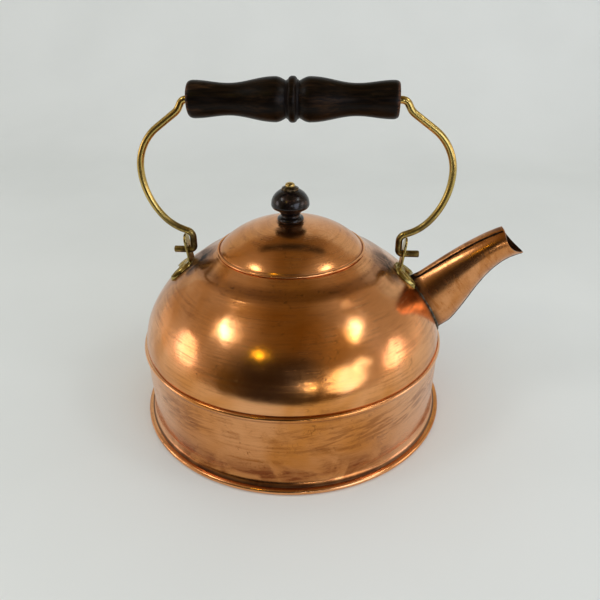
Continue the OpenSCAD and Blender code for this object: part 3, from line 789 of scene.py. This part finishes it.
KZ = 120.02
prof = ([(1.7, 0), (6.6, 0)] + arc((6.3, 1.5), 1.45, -60, 75, 14)
        + curve([(6.1, 3), (5.3, 3.4), (5.4, 4.6), (6.3, 5.6)], 12) + [(7, 6.3), (7.3, 6.9)]
        + curve([(8.6, 7.4), (10.9, 8.1), (11.2, 9.4), (11, 10.6)], 18)
        + curve([(10.9, 11.3), (10.5, 14.2), (8.4, 16.6), (5.4, 18)], 18) + [(1.7, 18)])
prof = [(q[0], q[1] * 18.8 / 18) for q in prof]
p, f, _ = lathe(prof, 72)
make("knob_turned", p + np.array((0, 0, KZ)), f, M_KNOB, "lid", ["lid_knob"], sharp=32)

# collar with a scalloped edge
prof = [(1.7, 0.02), (5.0, 0.02)] + curve([(5.1, 0.3), (5.2, 1.4), (3.9, 1.5), (3.1, 2.1)], 14) + [(1.7, 2.1)]
p, f, _ = lathe(prof, 96)
for q in p:
    rr = math.hypot(q[0], q[1])
    if rr > 2.6:
        w = math.atan2(q[1], q[0])
        k = 1 - 0.075 * (0.5 + 0.5 * cos(10 * w)) * smooth((rr - 2.6) / 2.2)
        q[0] *= k
        q[1] *= k
make("collar_scalloped", p + np.array((0, 0, KZ + 18.8)), f, M_COLLAR, "lid", ["knob_collar"], sharp=40)

prof = ([(0, -27.6), (1.6, -27.6), (1.6, 0), (2.75, 0), (2.8, 0.5)]
        + curve([(2.75, 0.8), (2.5, 1.7), (1.4, 2.1), (0, 2.15)], 14))
p, f, _ = lathe(prof, 40, closed=False)
make("bolt_head", p + np.array((0, 0, KZ + 20.92)), f, M_BOLT, "lid", ["knob_bolt"], sharp=40)

# ------------------------------------------------------------ ears


def on_dome(centre_z, sx, x, y, h):
    """The point h above the dome under the tangent-plane point (x down the slope, y across)."""
    s0 = dome_dr(centre_z)
    n0 = math.sqrt(1 + s0 * s0)
    down = np.array((-s0 / n0, 0, -1 / n0))
    nrm = np.array((1 / n0, 0, -s0 / n0))
    q = np.array((dome_r(centre_z), 0, centre_z)) + down * x + np.array((0, y, 0))
    for _ in range(5):
        q = q - nrm * (math.hypot(q[0], q[1]) - dome_r(q[2])) * 0.8
    s1 = dome_dr(q[2])
    rr = math.hypot(q[0], q[1])
    nn = np.array((q[0] / rr, q[1] / rr, -s1)) / math.sqrt(1 + s1 * s1)
    q = q + nn * h
    return np.array((q[0] * sx, q[1], q[2]))


def ear(name, sx, tab_x, foot_z, node, seed):
    parts_p, parts_f = [], []

    def push(p, f):
        k = sum(len(q) for q in parts_p)
        parts_p.append(list(p))
        parts_f.extend([tuple(v + k for v in q) for q in f])

    # two leaf lobes, dished with a raised edge and a slit down the middle
    for side in (-1, 1):
        na, nb = 34, 20
        top, bot = [], []
        for i in range(na + 1):
            a = i / na
            hw = 4.5 * max(0.0, sin(pi * min(1, a) ** 0.8)) ** 0.75
            for j in range(nb + 1):
                b = -1 + 2 * j / nb
                lx, ly = 16.8 * a, hw * b
                w = rad(27) * side
                x = -6.9 + lx * cos(w) - ly * sin(w)
                y = side * 1.9 + lx * sin(w) + ly * cos(w)
                edge = smooth((1 - abs(b)) / 0.30) * smooth(a / 0.08) * smooth((1 - a) / 0.10)
                dish = smooth((0.80 - abs(b)) / 0.35) * smooth((a - 0.10) / 0.15) * smooth((0.95 - a) / 0.15)
                slit = math.exp(-((b - 0.12 * sin(6 * a)) / 0.20) ** 2) * smooth((a - 0.20) / 0.12) * smooth((0.86 - a) / 0.12)
                h = 0.30 + 1.75 * edge - 0.55 * dish - 1.0 * slit
                h += 0.12 * noise.noise(Vector((lx * 0.4, ly * 0.5, seed)))
                top.append(on_dome(foot_z, sx, x, y, max(0.15, h)))
                bot.append(on_dome(foot_z, sx, x, y, 0.03))
        w = nb + 1
        n = len(top)
        fs = []
        for i in range(na):
            for j in range(nb):
                a0 = i * w + j
                fs.append((a0, a0 + 1, a0 + w + 1, a0 + w))
                fs.append((n + a0, n + a0 + w, n + a0 + w + 1, n + a0 + 1))
            fs.append((i * w, (i + 1) * w, n + (i + 1) * w, n + i * w))
            fs.append((i * w + nb, n + i * w + nb, n + (i + 1) * w + nb, (i + 1) * w + nb))
        for j in range(nb):
            fs.append((j, n + j, n + j + 1, j + 1))
            fs.append((na * w + j, na * w + j + 1, n + na * w + j + 1, n + na * w + j))
        push(top + bot, fs)
    # bridge between the lobes, under the foot of the tab
    m = 28
    ringp = []
    for (sc, h) in ((1.0, 0.03), (1.0, 1.1), (0.86, 1.65), (0.4, 1.8)):
        for k in range(m):
            w = 2 * pi * k / m
            cx, cy = cos(w), sin(w)
            ex = 3.6 * abs(cx) ** 0.7 * (1 if cx >= 0 else -1) * sc
            ey = 4.7 * abs(cy) ** 0.7 * (1 if cy >= 0 else -1) * sc
            ringp.append(on_dome(foot_z, sx, -3.4 + ex, ey, h))
    fs = [(r * m + k, r * m + (k + 1) % m, (r + 1) * m + (k + 1) % m, (r + 1) * m + k) for r in range(3) for k in range(m)]
    fs += [tuple(range(m))[::-1], tuple(3 * m + k for k in range(m))]
    push(ringp, fs)
    # upright tab with a hole for the wire
    m = 64
    lean = rad(8)

    def edge_at(w):
        cx, cy = cos(w), sin(w)
        d = 4.5 / abs(cx) if abs(cx) > 1e-6 else 1e9
        if d * cy > 5.6:
            d = 5.6 * cy + math.sqrt(max(0, 4.5 ** 2 - 5.6 ** 2 * cx * cx))
        if cy < 0:
            d = min(d, 10.6 / abs(cy))
        return d

    rings = [(0, -0.5, 0), (0, -0.7, 0.2), (1, -0.7, -0.25), (1, -0.45, 0), (1, 0.45, 0), (1, 0.7, -0.25), (0, 0.7, 0.2), (0, 0.5, 0)]
    tp = []
    for kind, off, ins in rings:
        for k in range(m):
            w = 2 * pi * k / m + 1e-4
            d = (edge_at(w) if kind else 2.32) + ins
            u, v = d * cos(w), d * sin(w)
            pinch = 0.35 * (v > 5) * (v - 5) / 5
            x = tab_x + off * (1 - 0.25 * pinch) * cos(lean) + v * sin(lean)
            z = 101 + v * cos(lean) - off * sin(lean)
            tp.append((x * sx, u * (1 + 0.02 * sin(v)), z))
    nr = len(rings)
    fs = [(r * m + k, r * m + (k + 1) % m, ((r + 1) % nr) * m + (k + 1) % m, ((r + 1) % nr) * m + k) for r in range(nr) for k in range(m)]
    push(tp, fs)
    pts = [q for part in parts_p for q in part]
    return make(name, pts, parts_f, M_EAR, "kettle", [node], sharp=42)


ear("ear_spout", 1, 66.0, 88.4, "front_ear", 1.3)
ear("ear_back", -1, 62.0, 89.6, "rear_ear", 4.1)

# carried over as they are
for node, mat in (("lid_skirt", M_LID),
                  ("knob_washer", M_BOLT), ("knob_nut", M_BOLT)):
    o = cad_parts[node]
    for s in o.material_slots:
        s.material = mat

# ------------------------------------------------------------ stage and light

g = Graph("stage_paper")
n = g.noise(g.co, 5.0, 3.0, 0.5)
col = g.mix(g.fade(n, 0.3, 0.7), (0.75, 0.77, 0.745), (0.78, 0.80, 0.775))
M_STAGE = g.done(col, 0.75, g.bump(g.noise(g.co, 9.0, 3.0), 0.08, 0.01))
pts, fs = [], []
back = ([(-0.36, 0)] + [(y, 0) for y in np.linspace(-0.2, 0.55, 12)]
        + [(0.55 + 0.4 * sin(rad(a)), 0.4 - 0.4 * cos(rad(a))) for a in range(6, 91, 6)] + [(0.95, 0.7), (0.95, 1.1)])
xs_ = np.linspace(-1.3, 1.3, 14)
for y, z in back:
    pts += [(x, y, z - 0.0002) for x in xs_]
w = len(xs_)
for i in range(len(back) - 1):
    fs += [(i * w + j, i * w + j + 1, (i + 1) * w + j + 1, (i + 1) * w + j) for j in range(w - 1)]
me = bpy.data.meshes.new("stage")
me.from_pydata(pts, [], fs)
me.shade_smooth()
me.materials.append(M_STAGE)
floor = bpy.data.objects.new("stage", me)
scene.collection.objects.link(floor)


def panel(name, az, el, dist, w, h, glow, colour=(1, 1, 1), roll=0, target=(0, 0, 0.07)):
    """A soft rectangular light. az is measured from -Y towards +X, el above the horizon, in degrees."""
    d = Vector((sin(rad(az)) * cos(rad(el)), -cos(rad(az)) * cos(rad(el)), sin(rad(el))))
    light = bpy.data.lights.new(name, "AREA")
    light.shape = "ELLIPSE"
    light.size, light.size_y = w, h
    light.energy = glow * pi * (pi / 4 * w * h)
    light.color = colour
    o = bpy.data.objects.new(name, light)
    o.location = Vector(target) + d * dist
    o.rotation_mode = "QUATERNION"
    o.rotation_quaternion = d.to_track_quat("Z", "Y") @ Quaternion((0, 0, 1), rad(roll))
    o.visible_camera = False
    scene.collection.objects.link(o)
    return o


panel("key_left", -67, 46.5, 1.2, 0.19, 0.38, 6.5, roll=56)
panel("key_right", 74, 47.5, 1.2, 0.19, 0.38, 6.5, roll=-57)
panel("warm_left", -81, 12.0, 1.2, 0.36, 0.52, 2.5, (1, 0.86, 0.90), roll=34)
panel("warm_right", 84, 11.0, 1.2, 0.36, 0.52, 2.3, (1, 0.80, 0.78), roll=-40)
panel("amber", -25, 41.5, 1.2, 0.08, 0.09, 15.0, (1, 0.78, 0.05))
panel("window", 42, 10.5, 1.3, 0.70, 0.66, 2.5, (1, 1.1, 1.35))
panel("window_high", 57, 21, 1.3, 0.34, 0.26, 2.2, (1, 1.1, 1.3))
panel("lamp", 15.5, 11, 1.3, 0.045, 0.05, 90.0, (1, 1.05, 1.1))

world = bpy.data.worlds.new("room")
scene.world = world
world.use_nodes = True
t = world.node_tree
t.nodes.clear()
W = t.nodes.new


def wmath(op, a, b=0.0, clamp=False):
    n = W("ShaderNodeMath")
    n.operation, n.use_clamp = op, clamp
    for s, v in zip(n.inputs, (a, b)):
        if isinstance(v, bpy.types.NodeSocket):
            t.links.new(v, s)
        else:
            s.default_value = v
    return n.outputs[0]


def wfade(v, a, b):
    n = W("ShaderNodeMapRange")
    n.interpolation_type = "SMOOTHSTEP"
    t.links.new(v, n.inputs["Value"])
    n.inputs["From Min"].default_value, n.inputs["From Max"].default_value = a, b
    return n.outputs[0]


def wmix(fac, a, b):
    n = W("ShaderNodeMix")
    n.data_type = "RGBA"
    for s, v in ((n.inputs[0], fac), (n.inputs[6], a), (n.inputs[7], b)):
        if isinstance(v, bpy.types.NodeSocket):
            t.links.new(v, s)
        elif isinstance(v, tuple):
            s.default_value = (*v, 1)
        else:
            s.default_value = v
    return n.outputs[2]


tc = W("ShaderNodeTexCoord")
sep = W("ShaderNodeSeparateXYZ")
t.links.new(tc.outputs["Generated"], sep.inputs[0])
dx, dy, dz = sep.outputs
front = wfade(wmath("MULTIPLY", dy, -1.0), 0.15, 0.75)
high = wfade(dz, 0.25, 0.75)
dark = wfade(wmath("ABSOLUTE", wmath("ADD", dx, 0.12)), 0.62, 0.30)
dark = wmath("MULTIPLY", dark, wfade(dz, 0.90, 0.56))
side = wmix(wfade(dz, 0.32, 0.02), (0.47, 0.41, 0.33), (0.82, 0.74, 0.64))
room = wmix(front, side, (0.120, 0.074, 0.006))
apart = wfade(wmath("ABSOLUTE", dx), 0.15, 0.55)
room = wmix(high, room, wmix(apart, (0.165, 0.105, 0.028), (0.36, 0.29, 0.20)))
room = wmix(wmath("MULTIPLY", front, dark), room, (0.018, 0.010, 0.005))
lp = W("ShaderNodeLightPath")
shade = wmix(lp.outputs["Is Glossy Ray"], (0.665, 0.675, 0.67), room)
bg = W("ShaderNodeBackground")
t.links.new(shade, bg.inputs[0])
wo = W("ShaderNodeOutputWorld")
t.links.new(bg.outputs[0], wo.inputs[0])
